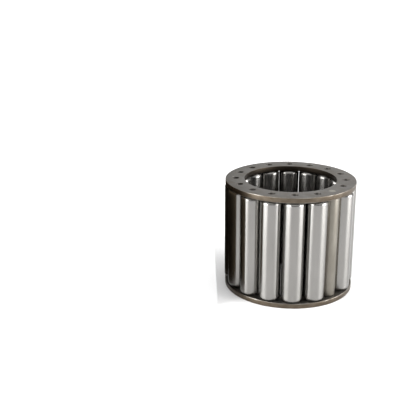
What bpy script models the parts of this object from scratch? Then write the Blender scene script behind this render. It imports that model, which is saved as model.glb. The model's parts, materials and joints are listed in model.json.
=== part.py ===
"""Journal roller assembly: trunnioned rollers held between two flat end rings, which one tie bar joins.

Metres, +Z up along the bearing's axis. The origin is on that axis, at the underside of the lower end ring.
"""

from math import cos, pi, radians, sin

import bmesh
import bpy
from mathutils import Matrix, Vector

MM = 0.001

# What the assembly runs between
SHAFT_DIAMETER = 38.10 * MM  # 1-1/2 in, touched by the rollers' inner sides
ROLLER_DIAMETER = 9.20 * MM
OVERALL_HEIGHT = 48.30 * MM
PITCH_RADIUS = (SHAFT_DIAMETER + ROLLER_DIAMETER) / 2  # so the rollers' outer sides touch a 56.5 mm bore

# End rings
RING_OUTER_DIAMETER = 56.10 * MM  # a little inside the rollers' outer sides
RING_BORE_DIAMETER = 39.46 * MM  # a little clear of the shaft
RING_THICKNESS = 2.20 * MM
RING_CHAMFER = 0.20 * MM
HOLE_DIAMETER = 3.00 * MM

# Rollers
ROLLER_COUNT = 15
FIRST_ROLLER_ANGLE = radians(-29.65)  # from +X towards +Y
ROLLER_PITCH = radians(22.85)  # from one roller to the next
END_FLOAT = 0.30 * MM  # between a roller's end and a ring
ROLLER_CORNER = 1.30 * MM
TRUNNION_DIAMETER = 2.55 * MM
TRUNNION_RECESS = 0.40 * MM  # how far a trunnion stops short of a ring's outer face

# Tie bar: it stands in the wider place between the last roller and the first
BAR_ANGLE = radians(-51.1)
BAR_DIAMETER = 6.10 * MM
BAR_CHAMFER = 0.40 * MM
BAR_SEAT_GAP = 0.10 * MM
TENON_DIAMETER = 2.55 * MM

# Fineness
RING_SEGMENTS = 48
PIECE_SEGMENTS = 20
HOLE_SEGMENTS = 12
CORNER_STEPS = 2


def clear_scene():
    for obj in list(bpy.data.objects):
        bpy.data.objects.remove(obj, do_unlink=True)


def metal(name, colour, roughness):
    """A Principled material for bare steel."""
    material = bpy.data.materials.new(name)
    material.use_nodes = True
    shader = material.node_tree.nodes["Principled BSDF"]
    shader.inputs["Base Color"].default_value = (*colour, 1.0)
    shader.inputs["Metallic"].default_value = 1.0
    shader.inputs["Roughness"].default_value = roughness
    return material


def turned_mesh(name, profile, segments, closed=False):
    """Turns a profile of (radius, height) points about Z; a closed one makes a ring, an open one a solid."""
    bm = bmesh.new()
    verts = [bm.verts.new((radius, 0.0, height)) for radius, height in profile]
    pairs = list(zip(verts, verts[1:]))
    if closed:
        pairs.append((verts[-1], verts[0]))
    edges = [bm.edges.new(pair) for pair in pairs]
    bmesh.ops.spin(bm, geom=verts + edges, cent=(0, 0, 0), axis=(0, 0, 1), angle=2 * pi,
                   steps=segments, use_merge=True)
    bmesh.ops.remove_doubles(bm, verts=bm.verts, dist=0.001 * MM)
    bmesh.ops.recalc_face_normals(bm, faces=bm.faces)
    mesh = bpy.data.meshes.new(name)
    bm.to_mesh(mesh)
    bm.free()
    mesh.shade_smooth()
    mesh.set_sharp_from_angle(angle=radians(30))
    return mesh


def add_object(name, mesh, location=(0.0, 0.0, 0.0)):
    obj = bpy.data.objects.new(name, mesh)
    obj.location = location
    bpy.context.scene.collection.objects.link(obj)
    return obj


def on_pitch_circle(angle, height=0.0):
    return Vector((PITCH_RADIUS * cos(angle), PITCH_RADIUS * sin(angle), height))


def roller_angle(index):
    return FIRST_ROLLER_ANGLE + index * ROLLER_PITCH


def corner_arc(radius, top):
    """Points down a rounded corner, from the end face at height top to the side at that radius."""
    points = []
    for step in range(CORNER_STEPS + 1):
        turn = (pi / 2) * step / CORNER_STEPS
        points.append((radius - ROLLER_CORNER * (1 - sin(turn)), top - ROLLER_CORNER * (1 - cos(turn))))
    return points


def mirrored(half):
    """A whole profile from its upper half, which is measured from mid-length."""
    return half + [(radius, -height) for radius, height in reversed(half)]


def roller_mesh():
    shoulder = OVERALL_HEIGHT / 2 - RING_THICKNESS - END_FLOAT
    tip = OVERALL_HEIGHT / 2 - TRUNNION_RECESS
    half = [
        (0.0, tip),
        (TRUNNION_DIAMETER / 2, tip),
        (TRUNNION_DIAMETER / 2, shoulder),
        *corner_arc(ROLLER_DIAMETER / 2, shoulder),
    ]
    return turned_mesh("roller", mirrored(half), PIECE_SEGMENTS)


def tie_bar_mesh():
    shoulder = OVERALL_HEIGHT / 2 - RING_THICKNESS - BAR_SEAT_GAP
    tip = OVERALL_HEIGHT / 2
    half = [
        (0.0, tip),
        (TENON_DIAMETER / 2, tip),
        (TENON_DIAMETER / 2, shoulder),
        (BAR_DIAMETER / 2 - BAR_CHAMFER, shoulder),
        (BAR_DIAMETER / 2, shoulder - BAR_CHAMFER),
    ]
    return turned_mesh("tie_bar", mirrored(half), PIECE_SEGMENTS)


def ring_mesh():
    """A flat ring from height 0 to its thickness, its outer edges chamfered."""
    outer = RING_OUTER_DIAMETER / 2
    bore = RING_BORE_DIAMETER / 2
    profile = [
        (bore, 0.0),
        (outer - RING_CHAMFER, 0.0),
        (outer, RING_CHAMFER),
        (outer, RING_THICKNESS - RING_CHAMFER),
        (outer - RING_CHAMFER, RING_THICKNESS),
        (bore, RING_THICKNESS),
    ]
    return turned_mesh("end_ring", profile, RING_SEGMENTS, closed=True)


def add_hole_cutter():
    """One guide object with a drill for every trunnion and for the tie bar's tenon, long enough for both rings."""
    bm = bmesh.new()
    for angle in [BAR_ANGLE] + [roller_angle(index) for index in range(ROLLER_COUNT)]:
        place = Matrix.Translation(on_pitch_circle(angle, OVERALL_HEIGHT / 2))
        bmesh.ops.create_cone(bm, cap_ends=True, segments=HOLE_SEGMENTS, radius1=HOLE_DIAMETER / 2,
                              radius2=HOLE_DIAMETER / 2, depth=1.2 * OVERALL_HEIGHT, matrix=place)
    mesh = bpy.data.meshes.new("ring_hole_drills")
    bm.to_mesh(mesh)
    bm.free()
    cutter = add_object("ring_hole_drills", mesh)
    cutter.hide_render = True
    cutter.display_type = "WIRE"
    return cutter


def add_end_rings(material):
    cutter = add_hole_cutter()
    heights = {"lower_end_ring": 0.0, "upper_end_ring": OVERALL_HEIGHT - RING_THICKNESS}
    for name, height in heights.items():
        ring = add_object(name, ring_mesh(), (0.0, 0.0, height))
        ring.data.materials.append(material)
        drill = ring.modifiers.new("trunnion holes", "BOOLEAN")
        drill.operation = "DIFFERENCE"
        drill.solver = "EXACT"
        drill.object = cutter


def add_tie_bar(material):
    bar = add_object("tie_bar", tie_bar_mesh(), on_pitch_circle(BAR_ANGLE, OVERALL_HEIGHT / 2))
    bar.data.materials.append(material)


def add_rollers(material):
    """Each roller's origin is on its own axis, about which it turns freely."""
    mesh = roller_mesh()
    mesh.materials.append(material)
    for index in range(ROLLER_COUNT):
        add_object(f"roller_{index + 1:02d}", mesh, on_pitch_circle(roller_angle(index), OVERALL_HEIGHT / 2))


def main():
    clear_scene()
    add_end_rings(metal("ring_steel", (0.30, 0.275, 0.25), 0.42))
    add_tie_bar(metal("bar_steel", (0.33, 0.29, 0.25), 0.38))
    add_rollers(metal("roller_steel", (0.62, 0.62, 0.61), 0.20))


main()
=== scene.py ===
"""Looks of the journal roller assembly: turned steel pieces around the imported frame, on a pale floor.

Metres, in the frame's own axes: +Z is the bearing's axis, and the lower end ring's underside is at height 0.
"""

import json
from math import cos, pi, radians, sin

import bmesh
import bpy
from mathutils import Matrix, Vector


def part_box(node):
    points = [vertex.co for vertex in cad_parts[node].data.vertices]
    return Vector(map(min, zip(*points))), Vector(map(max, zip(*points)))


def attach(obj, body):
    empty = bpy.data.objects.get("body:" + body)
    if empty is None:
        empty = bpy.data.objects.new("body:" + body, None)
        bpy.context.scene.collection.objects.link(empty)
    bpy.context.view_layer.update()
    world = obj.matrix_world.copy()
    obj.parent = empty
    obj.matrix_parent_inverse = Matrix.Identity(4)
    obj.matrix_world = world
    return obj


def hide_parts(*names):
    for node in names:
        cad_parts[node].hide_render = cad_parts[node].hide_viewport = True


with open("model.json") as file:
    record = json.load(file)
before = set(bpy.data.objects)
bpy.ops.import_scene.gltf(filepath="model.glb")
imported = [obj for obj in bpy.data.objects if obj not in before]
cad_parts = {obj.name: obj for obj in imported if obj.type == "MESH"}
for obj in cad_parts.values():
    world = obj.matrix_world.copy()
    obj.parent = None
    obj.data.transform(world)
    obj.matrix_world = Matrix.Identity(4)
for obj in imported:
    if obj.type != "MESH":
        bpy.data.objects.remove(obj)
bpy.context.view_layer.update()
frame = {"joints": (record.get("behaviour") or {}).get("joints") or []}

MM = 0.001

# Sizes that the frame doesn't state
ROLLER_RADIUS = 4.60 * MM
RING_BORE_RADIUS = 19.73 * MM
HOLE_RADIUS = 1.50 * MM
END_FLOAT = 0.30 * MM
TRUNNION_RADIUS = 1.275 * MM
ROLLER_CORNER = 1.30 * MM
BAR_SEAT_GAP = 0.05 * MM
RIVET_GAP = 0.02 * MM

# Small edges that only the finished pieces have
RING_EDGE = 0.20 * MM
BORE_EDGE = 0.12 * MM
HOLE_EDGE = 0.06 * MM
TRUNNION_FILLET = 0.20 * MM
TRUNNION_EDGE = 0.15 * MM
BAR_EDGE = 0.55 * MM
RIVET_EDGE = 0.08 * MM
RIVET_DOME = 0.05 * MM

# Fineness
RING_SEGMENTS = 192
PIECE_SEGMENTS = 96
HOLE_SEGMENTS = 40

# What the frame states
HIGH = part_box("upper_end_ring")[1]
HEIGHT = HIGH.z
RING_RADIUS = HIGH.x
RING_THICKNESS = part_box("lower_end_ring")[1].z
ROLLER_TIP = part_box("roller_01")[1].z - HEIGHT / 2
ROLLER_SHOULDER = HEIGHT / 2 - RING_THICKNESS - END_FLOAT
BAR_LOW, BAR_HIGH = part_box("tie_bar")
BAR_RADIUS = (BAR_HIGH.x - BAR_LOW.x) / 2
BAR_AXIS = (BAR_LOW + BAR_HIGH) / 2
ROLLER_AXES = {joint["child"]: Vector(joint["pos_m"]) for joint in frame["joints"]}

# Colours of the steel, as a metal's base colour
GROUND_STEEL = ((0.250, 0.243, 0.232, 1), (0.272, 0.265, 0.254, 1))
GROUND_STAIN = (0.25, 0.21, 0.19, 1)
# Painted shade: near black for the trunnions, which sit in the ring holes
TRUNNION_PAINTED_SHADE = (0.035, 0.03, 0.026, 1)
STRIP_STEEL = ((0.158, 0.148, 0.134, 1), (0.208, 0.199, 0.186, 1))
STRIP_BROWNED = (0.15, 0.118, 0.088, 1)
STRIP_SCRATCH = (0.34, 0.325, 0.30, 1)
RIM_STEEL = ((0.115, 0.095, 0.073, 1), (0.075, 0.058, 0.042, 1))
# Painted shade: near black for the bore wall of the rings
BORE_PAINTED_SHADE = (0.035, 0.028, 0.021, 1)
EDGE_WORN = (0.33, 0.312, 0.28, 1)
DRAWN_STEEL = ((0.165, 0.152, 0.128, 1), (0.215, 0.202, 0.176, 1))
DRAWN_PIT = (0.14, 0.11, 0.085, 1)
RIVET_STEEL = (0.36, 0.345, 0.30, 1)
ROLLER_ROUGHNESS = 0.27

# How bright the studio is, where 1 shows a white floor as white
OVERHEAD = 1.25
SIDE_PANELS = 18.0
BACK_FILL = 0.5
HORIZON = 0.85
ROOM = 0.12

# Where the light comes from: azimuth and elevation, each (centre, half width, softness) in degrees
LEFT_PANEL = ((-68.0, 7.0, 28.0), (7.0, 13.0, 12.0))
RIGHT_PANEL = ((72.0, 7.0, 28.0), (7.0, 13.0, 12.0))
BACK_PANEL = ((140.0, 35.0, 20.0), (15.0, 30.0, 15.0))
ZENITH = (90.0, 35.0, 30.0)
SKYLINE = (0.0, 4.0, 3.0)

# Stage
FLOOR_SIZE = 8.0
FLOOR_WHITE = (0.93, 0.93, 0.93)
FLAG_WIDTH = 80.0 * MM
FLAG_HEIGHT = 56.0 * MM
FLAG_X = -32.0 * MM
FLAG_Y = 16.0 * MM
FLAG_DARK = (0.10, 0.08, 0.055)

# Camera
CAMERA_PLACE = (-39.1 * MM, -303.0 * MM, 137.7 * MM)
CAMERA_LENS = 65.9
CAMERA_SENSOR = 36.0
CAMERA_PITCH = radians(-18.08)
CAMERA_ROLL = radians(-0.45)


# ---------------------------------------------------------------- meshes

def arc(centre, radius, start, end, steps):
    """Points (radius from the axis, height) on a round corner, angles in degrees from outwards towards up."""
    points = []
    for step in range(steps + 1):
        turn = radians(start + (end - start) * step / steps)
        points.append((centre[0] + radius * cos(turn), centre[1] + radius * sin(turn)))
    return points


def turned(name, profile, segments, closed=False):
    """A mesh turned about Z from a profile of (radius, height) points."""
    bm = bmesh.new()
    verts = [bm.verts.new((radius, 0.0, height)) for radius, height in profile]
    pairs = list(zip(verts, verts[1:]))
    if closed:
        pairs.append((verts[-1], verts[0]))
    edges = [bm.edges.new(pair) for pair in pairs]
    bmesh.ops.spin(bm, geom=verts + edges, cent=(0, 0, 0), axis=(0, 0, 1), angle=2 * pi,
                   steps=segments, use_merge=True)
    bmesh.ops.remove_doubles(bm, verts=bm.verts, dist=0.0005 * MM)
    bmesh.ops.recalc_face_normals(bm, faces=bm.faces)
    mesh = bpy.data.meshes.new(name)
    bm.to_mesh(mesh)
    bm.free()
    finish_shading(mesh)
    return mesh


def finish_shading(mesh):
    """Smooth all over, but for the edges that are sharp on the real piece."""
    mesh.shade_smooth()
    mesh.set_sharp_from_angle(angle=radians(32))


def mirrored(half):
    """A whole profile from its upper half, which runs from the axis outwards, heights from mid-length."""
    return half + [(radius, -height) for radius, height in reversed(half)]


def add_piece(name, mesh, location, material):
    """One object in the scene; pieces that share a mesh share its material too."""
    piece = bpy.data.objects.new(name, mesh)
    piece.location = location
    bpy.context.scene.collection.objects.link(piece)
    if not mesh.materials:
        mesh.materials.append(material)
    return piece


def roller_mesh():
    """A roller with rounded corners and a small trunnion at each end, centred on its own mid-length."""
    tip = ROLLER_TIP
    shoulder = ROLLER_SHOULDER
    edge = TRUNNION_RADIUS - TRUNNION_EDGE
    fillet = TRUNNION_RADIUS + TRUNNION_FILLET
    half = [(0.0, tip)]
    half += list(reversed(arc((edge, tip - TRUNNION_EDGE), TRUNNION_EDGE, 0, 90, 4)))
    half += arc((fillet, shoulder + TRUNNION_FILLET), TRUNNION_FILLET, 180, 270, 4)
    corner = (ROLLER_RADIUS - ROLLER_CORNER, shoulder - ROLLER_CORNER)
    half += list(reversed(arc(corner, ROLLER_CORNER, 0, 90, 10)))
    return turned("roller", mirrored(half), PIECE_SEGMENTS)


def tie_bar_mesh():
    """The bar between the rings, with a shoulder inside each ring and a riveted end flush in its hole."""
    tip = HEIGHT / 2
    shoulder = tip - RING_THICKNESS - BAR_SEAT_GAP
    rivet = HOLE_RADIUS - RIVET_GAP
    rim = tip - RIVET_DOME - RIVET_EDGE
    half = [(0.0, tip), (rivet * 0.5, tip - RIVET_DOME * 0.25)]
    half += list(reversed(arc((rivet - RIVET_EDGE, rim), RIVET_EDGE, 0, 90, 4)))
    half += [(rivet, shoulder)]
    half += list(reversed(arc((BAR_RADIUS - BAR_EDGE, shoulder - BAR_EDGE), BAR_EDGE, 0, 90, 4)))
    return turned("tie_bar", mirrored(half), PIECE_SEGMENTS)


def ring_blank():
    """A flat ring centred on its own mid-thickness, its edges rounded."""
    top = RING_THICKNESS / 2
    outer = RING_RADIUS - RING_EDGE
    bore = RING_BORE_RADIUS + BORE_EDGE
    profile = []
    profile += arc((outer, -top + RING_EDGE), RING_EDGE, -90, 0, 6)
    profile += arc((outer, top - RING_EDGE), RING_EDGE, 0, 90, 6)
    profile += arc((bore, top - BORE_EDGE), BORE_EDGE, 90, 180, 4)
    profile += arc((bore, -top + BORE_EDGE), BORE_EDGE, 180, 270, 4)
    return turned("end_ring", profile, RING_SEGMENTS, closed=True)


def hole_drill():
    """One drill with flared ends, which leaves a small chamfer at both mouths of a hole."""
    top = RING_THICKNESS / 2
    flare = HOLE_RADIUS + HOLE_EDGE
    beyond = 0.5 * MM
    profile = [
        (0.0, top + beyond),
        (flare + beyond, top + beyond),
        (HOLE_RADIUS, top - HOLE_EDGE),
        (HOLE_RADIUS, -top + HOLE_EDGE),
        (flare + beyond, -top - beyond),
        (0.0, -top - beyond),
    ]
    return turned("hole_drill", profile, HOLE_SEGMENTS)


def drilled_ring():
    """The ring with a hole for every roller and for the tie bar, cut one after another."""
    ring = bpy.data.objects.new("ring_blank", ring_blank())
    bpy.context.scene.collection.objects.link(ring)
    guides = [ring]
    drill_mesh = hole_drill()
    for axis in list(ROLLER_AXES.values()) + [BAR_AXIS]:
        drill = bpy.data.objects.new("drill", drill_mesh)
        drill.location = (axis.x, axis.y, 0.0)
        bpy.context.scene.collection.objects.link(drill)
        guides.append(drill)
        cut = ring.modifiers.new("hole", "BOOLEAN")
        cut.operation = "DIFFERENCE"
        cut.solver = "EXACT"
        cut.object = drill
    bpy.context.view_layer.update()
    mesh = bpy.data.meshes.new_from_object(ring.evaluated_get(bpy.context.evaluated_depsgraph_get()))
    for guide in guides:
        bpy.data.objects.remove(guide, do_unlink=True)
    finish_shading(mesh)
    return mesh


# ---------------------------------------------------------------- materials

class Nodes:
    """A short way to write a node tree."""

    def __init__(self, name):
        self.material = bpy.data.materials.new(name)
        self.material.use_nodes = True
        self.tree = self.material.node_tree
        self.shader = self.tree.nodes["Principled BSDF"]

    def add(self, kind, values=None, **settings):
        node = self.tree.nodes.new(kind)
        for key, value in settings.items():
            setattr(node, key, value)
        for key, value in (values or {}).items():
            self.put(node.inputs[key], value)
        return node

    def put(self, socket, value):
        if isinstance(value, bpy.types.NodeSocket):
            self.tree.links.new(value, socket)
        else:
            socket.default_value = value

    def coords(self, scale=(1, 1, 1), offset=None):
        """Object coordinates in metres, times scale; offset is a socket added to them."""
        place = self.add("ShaderNodeTexCoord").outputs["Object"]
        if offset is not None:
            place = self.add("ShaderNodeVectorMath", {0: place, 1: offset}, operation="ADD").outputs[0]
        return self.add("ShaderNodeMapping", {"Vector": place, "Scale": scale}).outputs[0]

    def noise(self, vector, scale, detail=3.0, rough=0.5):
        values = {"Vector": vector, "Scale": scale, "Detail": detail, "Roughness": rough}
        node = self.add("ShaderNodeTexNoise", values)
        return node.outputs["Fac"]

    def span(self, value, low, high, to_low, to_high):
        node = self.add("ShaderNodeMapRange", {"Value": value, "From Min": low, "From Max": high,
                                               "To Min": to_low, "To Max": to_high})
        return node.outputs["Result"]

    def mix(self, factor, first, second):
        node = self.add("ShaderNodeMix", data_type="RGBA")
        for index, value in ((0, factor), (6, first), (7, second)):
            self.put(node.inputs[index], value)
        return node.outputs[2]

    def math(self, operation, first, second):
        return self.add("ShaderNodeMath", {0: first, 1: second}, operation=operation).outputs[0]

    def bump(self, height, strength, distance, normal=None):
        values = {"Height": height, "Strength": strength, "Distance": distance}
        if normal is not None:
            values["Normal"] = normal
        return self.add("ShaderNodeBump", values).outputs["Normal"]


def own_offset(n, reach):
    """A shift of the pattern for each object, so that no two rollers have the same marks."""
    chance = n.add("ShaderNodeObjectInfo").outputs["Random"]
    shift = n.math("MULTIPLY", chance, reach)
    return n.add("ShaderNodeCombineXYZ", {"X": shift, "Y": shift, "Z": shift}).outputs[0]


def roller_steel():
    """Hardened steel, ground round and polished: fine marks run round the roller; its trunnions carry painted
    shade.
    """
    n = Nodes("roller_steel")
    offset = own_offset(n, 0.7)
    marks = n.noise(n.coords((60, 60, 5000), offset), 1.0, 2.0, 0.6)
    cloud = n.noise(n.coords((1, 1, 0.5), offset), 120.0, 2.0, 0.5)
    stain = n.noise(n.coords((1, 1, 1), offset), 420.0, 3.0, 0.6)
    spots = n.span(stain, 0.68, 0.76, 0.0, 0.5)
    steel = n.mix(n.span(cloud, 0.3, 0.7, 0.0, 1.0), *GROUND_STEEL)
    ground = n.mix(spots, steel, GROUND_STAIN)
    along = n.add("ShaderNodeSeparateXYZ", {0: n.add("ShaderNodeTexCoord").outputs["Object"]}).outputs[2]
    # Painted shade: the trunnions beyond each shoulder sit in the ring holes and are coloured near black, so
    # the holes look dark
    trunnion_painted_shade = n.math("GREATER_THAN", n.math("ABSOLUTE", along, 0.0), ROLLER_SHOULDER + 0.05 * MM)
    n.put(n.shader.inputs["Base Color"], n.mix(trunnion_painted_shade, ground, TRUNNION_PAINTED_SHADE))
    n.put(n.shader.inputs["Roughness"], ROLLER_ROUGHNESS)
    n.put(n.shader.inputs["Metallic"], 1.0)
    n.put(n.shader.inputs["Anisotropic"], 0.9)
    n.put(n.shader.inputs["Anisotropic Rotation"], 0.25)
    around = n.add("ShaderNodeTangent", direction_type="RADIAL", axis="Z").outputs[0]
    n.put(n.shader.inputs["Tangent"], around)
    n.put(n.shader.inputs["Normal"], n.bump(marks, 0.04, 0.000002))
    return n.material


def ring_steel():
    """Strip steel, blanked and tumbled: matt, warm grey, browned by oil, worn bright along its edges, with
    painted shade on its bore wall.
    """
    n = Nodes("ring_steel")
    grain = n.noise(n.coords(), 9000.0, 3.0, 0.7)
    cloud = n.noise(n.coords(), 140.0, 5.0, 0.6)
    stain = n.noise(n.coords((1, 1, 2)), 330.0, 4.0, 0.65)
    scratch_a = n.noise(n.coords((900, 9000, 900)), 1.0, 2.0, 0.5)
    scratch_b = n.noise(n.coords((8000, 1200, 900)), 1.0, 2.0, 0.5)
    along_x = n.span(scratch_a, 0.62, 0.70, 0.0, 1.0)
    along_y = n.span(scratch_b, 0.64, 0.72, 0.0, 1.0)
    scratches = n.math("MAXIMUM", along_x, along_y)
    steel = n.mix(n.span(cloud, 0.3, 0.7, 0.0, 1.0), *STRIP_STEEL)
    browned = n.mix(n.span(stain, 0.45, 0.75, 0.0, 0.6), steel, STRIP_BROWNED)
    face = n.mix(n.span(scratches, 0.0, 1.0, 0.0, 0.35), browned, STRIP_SCRATCH)
    x, y, z = n.add("ShaderNodeSeparateXYZ", {0: n.add("ShaderNodeTexCoord").outputs["Object"]}).outputs
    radius = n.math("SQRT", n.math("ADD", n.math("MULTIPLY", x, x), n.math("MULTIPLY", y, y)), 0.0)
    rim = n.span(radius, RING_RADIUS - 0.22 * MM, RING_RADIUS - 0.06 * MM, 0.0, 1.0)
    # Painted shade: the bore wall is coloured near black, standing in for the shade inside the bore
    bore = n.span(radius, RING_BORE_RADIUS + 0.10 * MM, RING_BORE_RADIUS + 0.03 * MM, 0.0, 1.0)
    side = n.mix(n.span(stain, 0.35, 0.7, 0.0, 1.0), *RIM_STEEL)
    dull_with_bore_shade = n.mix(bore, n.mix(rim, face, side), BORE_PAINTED_SHADE)
    from_edge = n.math("SUBTRACT", RING_THICKNESS / 2, n.math("ABSOLUTE", z, 0.0))
    near_face = n.span(from_edge, RING_EDGE * 1.05, RING_EDGE * 0.75, 0.0, 1.0)
    near_side = n.span(radius, RING_RADIUS - RING_EDGE * 1.05, RING_RADIUS - RING_EDGE * 0.75, 0.0, 1.0)
    worn = n.span(cloud, 0.42, 0.62, 0.15, 1.0)
    burnished = n.math("MULTIPLY", n.math("MULTIPLY", near_face, near_side), worn)
    n.put(n.shader.inputs["Base Color"], n.mix(burnished, dull_with_bore_shade, EDGE_WORN))
    satin = n.span(cloud, 0.3, 0.7, 0.46, 0.40)
    n.put(n.shader.inputs["Roughness"], n.math("SUBTRACT", satin, n.math("MULTIPLY", burnished, 0.10)))
    n.put(n.shader.inputs["Metallic"], 1.0)
    fine = n.bump(grain, 0.25, 0.00001)
    n.put(n.shader.inputs["Normal"], n.bump(scratches, 0.2, 0.00001, fine))
    return n.material


def bar_steel():
    """Drawn round bar: long marks along it, warm grey under an oil film, its riveted ends brighter."""
    n = Nodes("bar_steel")
    drawn = n.noise(n.coords((6000, 6000, 40)), 1.0, 2.0, 0.6)
    cloud = n.noise(n.coords((1, 1, 0.4)), 300.0, 4.0, 0.6)
    pits = n.noise(n.coords(), 2600.0, 2.0, 0.6)
    steel = n.mix(n.span(cloud, 0.3, 0.7, 0.0, 1.0), *DRAWN_STEEL)
    bar = n.mix(n.span(pits, 0.62, 0.72, 0.0, 0.5), steel, DRAWN_PIT)
    along = n.add("ShaderNodeSeparateXYZ", {0: n.add("ShaderNodeTexCoord").outputs["Object"]}).outputs[2]
    riveted = n.math("GREATER_THAN", n.math("ABSOLUTE", along, 0.0), HEIGHT / 2 - RING_THICKNESS / 2)
    n.put(n.shader.inputs["Base Color"], n.mix(riveted, bar, RIVET_STEEL))
    n.put(n.shader.inputs["Roughness"], n.span(cloud, 0.3, 0.7, 0.36, 0.44))
    n.put(n.shader.inputs["Metallic"], 1.0)
    n.put(n.shader.inputs["Normal"], n.bump(drawn, 0.2, 0.00001, n.bump(pits, 0.15, 0.00001)))
    return n.material


# ---------------------------------------------------------------- pieces

def add_rollers(material):
    mesh = roller_mesh()
    for node, axis in ROLLER_AXES.items():
        piece = add_piece(f"{node}_ground", mesh, (axis.x, axis.y, HEIGHT / 2), material)
        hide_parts(node)
        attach(piece, node)


def add_rings(material):
    mesh = drilled_ring()
    for node in ("lower_end_ring", "upper_end_ring"):
        low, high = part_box(node)
        piece = add_piece(f"{node}_blanked", mesh, (0.0, 0.0, (low.z + high.z) / 2), material)
        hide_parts(node)
        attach(piece, "cage")


def add_tie_bar(material):
    piece = add_piece("tie_bar_riveted", tie_bar_mesh(), BAR_AXIS, material)
    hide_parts("tie_bar")
    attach(piece, "cage")


# ---------------------------------------------------------------- studio

def stage_material(name, colour, roughness=0.9):
    n = Nodes(name)
    n.put(n.shader.inputs["Base Color"], (*colour, 1.0))
    n.put(n.shader.inputs["Roughness"], roughness)
    n.put(n.shader.inputs["Specular IOR Level"], 0.0)
    return n.material


def add_floor():
    """A flat white floor, wide enough to reach the skyline."""
    bpy.ops.mesh.primitive_plane_add(size=FLOOR_SIZE, location=(0.0, 0.0, 0.0))
    floor = bpy.context.object
    floor.name = "floor"
    floor.data.materials.append(stage_material("white_floor", FLOOR_WHITE))


def add_flag():
    """A dark board at the object's left: the camera doesn't see it, but the steel does, and it shades."""
    bm = bmesh.new()
    bmesh.ops.create_grid(bm, x_segments=1, y_segments=1, size=0.5)
    mesh = bpy.data.meshes.new("dark_flag")
    bm.to_mesh(mesh)
    bm.free()
    flag = bpy.data.objects.new("dark_flag", mesh)
    flag.scale = (FLAG_HEIGHT, FLAG_WIDTH, 1.0)
    flag.rotation_euler = (0.0, pi / 2, 0.0)
    flag.location = (FLAG_X, FLAG_Y, FLAG_HEIGHT / 2)
    flag.visible_camera = False
    flag.visible_diffuse = False
    mesh.materials.append(stage_material("flag_black", FLAG_DARK))
    bpy.context.scene.collection.objects.link(flag)


class Sky(Nodes):
    """The studio as the object sees it: brightness painted by direction."""

    def __init__(self, name):
        self.world = bpy.data.worlds.new(name)
        self.world.use_nodes = True
        self.tree = self.world.node_tree
        self.shader = self.tree.nodes["Background"]
        direction = self.add("ShaderNodeTexCoord").outputs["Generated"]
        x, y, z = self.add("ShaderNodeSeparateXYZ", {0: direction}).outputs
        front = self.math("MULTIPLY", y, -1.0)
        self.azimuth = self.math("MULTIPLY", self.math("ARCTAN2", x, front), 180 / pi)
        self.elevation = self.math("MULTIPLY", self.math("ARCSINE", z, 0.0), 180 / pi)

    def window(self, angle, centre, half, soft):
        """1 within half a width of the centre, falling smoothly to 0 over soft degrees."""
        away = self.math("ABSOLUTE", self.math("SUBTRACT", angle, centre), 0.0)
        node = self.add("ShaderNodeMapRange", {"Value": away, "From Min": half, "From Max": half + soft,
                                               "To Min": 1.0, "To Max": 0.0}, interpolation_type="SMOOTHSTEP")
        return node.outputs["Result"]

    def panel(self, azimuth, elevation, brightness):
        """A soft panel; azimuth and elevation are each (centre, half width, softness) in degrees."""
        across = self.window(self.azimuth, *azimuth)
        shape = self.math("MULTIPLY", across, self.window(self.elevation, *elevation))
        return self.math("MULTIPLY", shape, brightness)


def add_world():
    """Azimuth is 0 in front of the object and 90 at its right."""
    sky = Sky("studio")
    light = sky.math("MULTIPLY", sky.window(sky.elevation, *ZENITH), OVERHEAD)
    for place, brightness in ((LEFT_PANEL, SIDE_PANELS), (RIGHT_PANEL, SIDE_PANELS), (BACK_PANEL, BACK_FILL)):
        light = sky.math("ADD", light, sky.panel(*place, brightness))
    light = sky.math("ADD", light, sky.math("MULTIPLY", sky.window(sky.elevation, *SKYLINE), HORIZON))
    sky.put(sky.shader.inputs["Color"], (1.0, 1.0, 1.0, 1.0))
    sky.put(sky.shader.inputs["Strength"], sky.math("ADD", light, ROOM))
    bpy.context.scene.world = sky.world


def add_camera():
    camera = bpy.data.cameras.new("camera")
    camera.sensor_width = CAMERA_SENSOR
    camera.lens = CAMERA_LENS
    obj = bpy.data.objects.new("camera", camera)
    obj.matrix_world = (Matrix.Translation(CAMERA_PLACE) @ Matrix.Rotation(pi / 2 + CAMERA_PITCH, 4, "X")
                        @ Matrix.Rotation(CAMERA_ROLL, 4, "Z"))
    bpy.context.scene.collection.objects.link(obj)
    bpy.context.scene.camera = obj


def main():
    bpy.context.scene.view_settings.view_transform = "Standard"
    add_camera()
    add_rollers(roller_steel())
    add_rings(ring_steel())
    add_tie_bar(bar_steel())
    add_floor()
    add_flag()
    add_world()


main()
